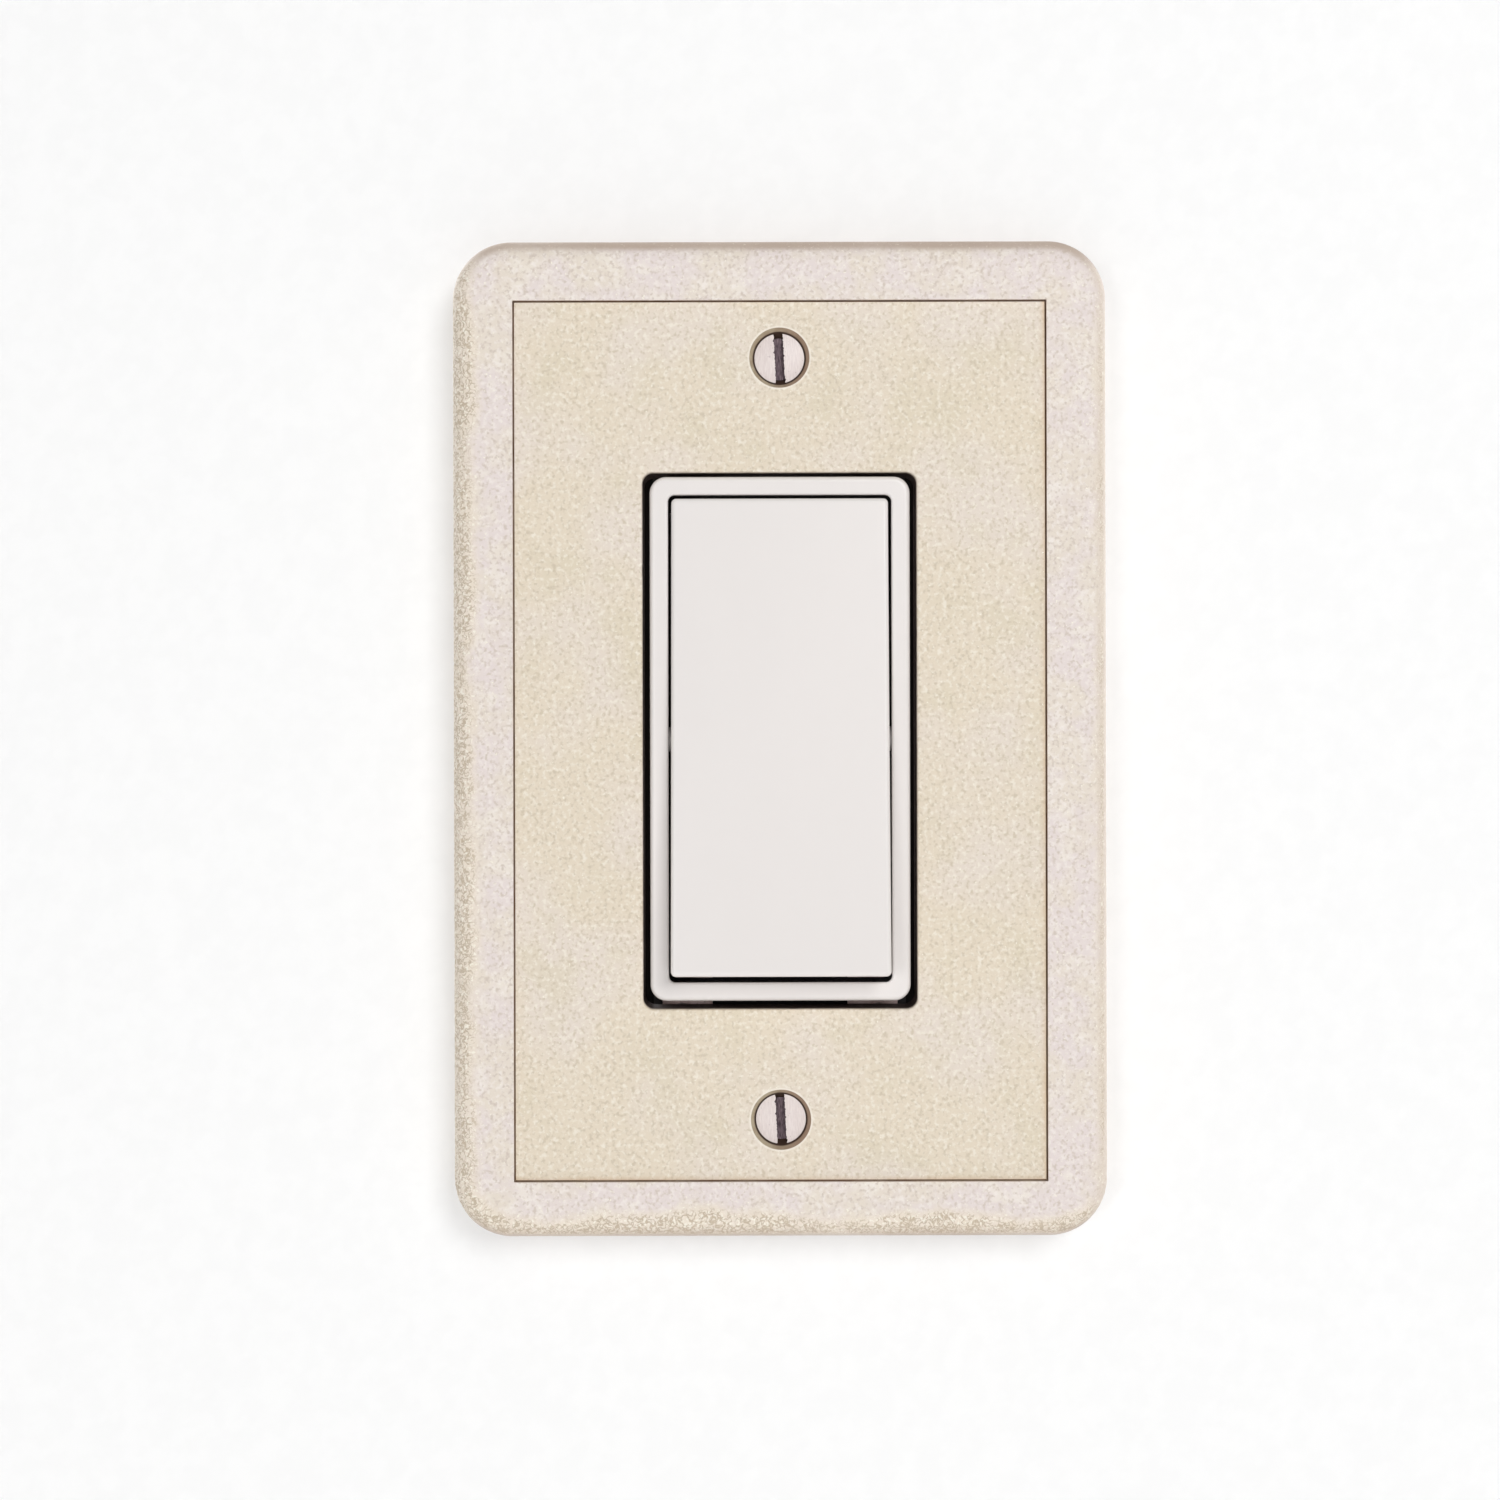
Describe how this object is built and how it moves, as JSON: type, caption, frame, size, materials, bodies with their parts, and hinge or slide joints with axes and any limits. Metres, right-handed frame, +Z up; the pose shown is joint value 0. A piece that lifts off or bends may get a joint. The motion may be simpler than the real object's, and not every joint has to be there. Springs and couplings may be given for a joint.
{
  "type": "rocker wall switch",
  "caption": "Single-gang rocker light switch: wide pressed paddle in a plain bezel, inside a rounded cast-stone wall plate with a sunk panel and two slotted screws, complete behind.",
  "frame": {"origin": "in the wall's finished surface, at the middle of the switch, half way between the plate's two screws", "axes": "+X to the right and +Z up as seen from the room, +Y into the wall"},
  "size_m": [0.0836, 0.0357, 0.1272],
  "materials": {
    "cast_stone": "matte",
    "screw_paint": "satin",
    "switch_plastic": "gloss",
    "housing_plastic": "satin",
    "deck_plastic": "satin",
    "plated_steel": "satin",
    "spring_steel": "satin",
    "terminal_brass": "satin",
    "contact_silver": "polished",
    "washer_fibre": "matte",
    "ground_green": "satin"
  },
  "bodies": {
    "switch_body": {"wall_plate": "cast_stone", "wall_plate_screws": "screw_paint", "front_frame": "switch_plastic", "fixed_contact": "contact_silver", "load_terminal": "terminal_brass", "common_terminal": "terminal_brass", "terminal_screws": "terminal_brass", "wire_clamp_springs": "spring_steel", "switch_deck": "deck_plastic", "rear_housing": "housing_plastic", "mounting_strap": "plated_steel", "housing_rivets": "plated_steel", "mounting_screws": "plated_steel", "screw_retaining_washers": "washer_fibre", "ground_screw": "ground_green"},
    "rocker": {"rocker_paddle": "switch_plastic", "contact_spring": "spring_steel"},
    "plunger": {"spring_plunger": "terminal_brass"},
    "contact_arm": {"contact_rocker": "terminal_brass", "moving_contact": "contact_silver"}
  },
  "joints": [
    {"name": "rocker_hinge", "type": "hinge", "parent": "switch_body", "child": "rocker", "pos_m": [0, -0.0048, 0], "axis": [1, 0, 0], "range_deg": [0, 9.5]},
    {"name": "plunger_slide", "type": "slide", "parent": "rocker", "child": "plunger", "axis": [0, 0.9966, -0.0828], "range_m": [-0.0008, 0], "stiffness_N_per_m": 500, "springref_m": 0.003, "deforming": ["contact_spring"]},
    {"name": "contact_hinge", "type": "hinge", "parent": "switch_body", "child": "contact_arm", "pos_m": [0, 0.0155, 0], "axis": [1, 0, 0], "range_deg": [-16, 0]}
  ],
  "couplings": [
    {"joint": "contact_hinge", "follows": "rocker_hinge", "ratio": -1.6842}
  ]
}
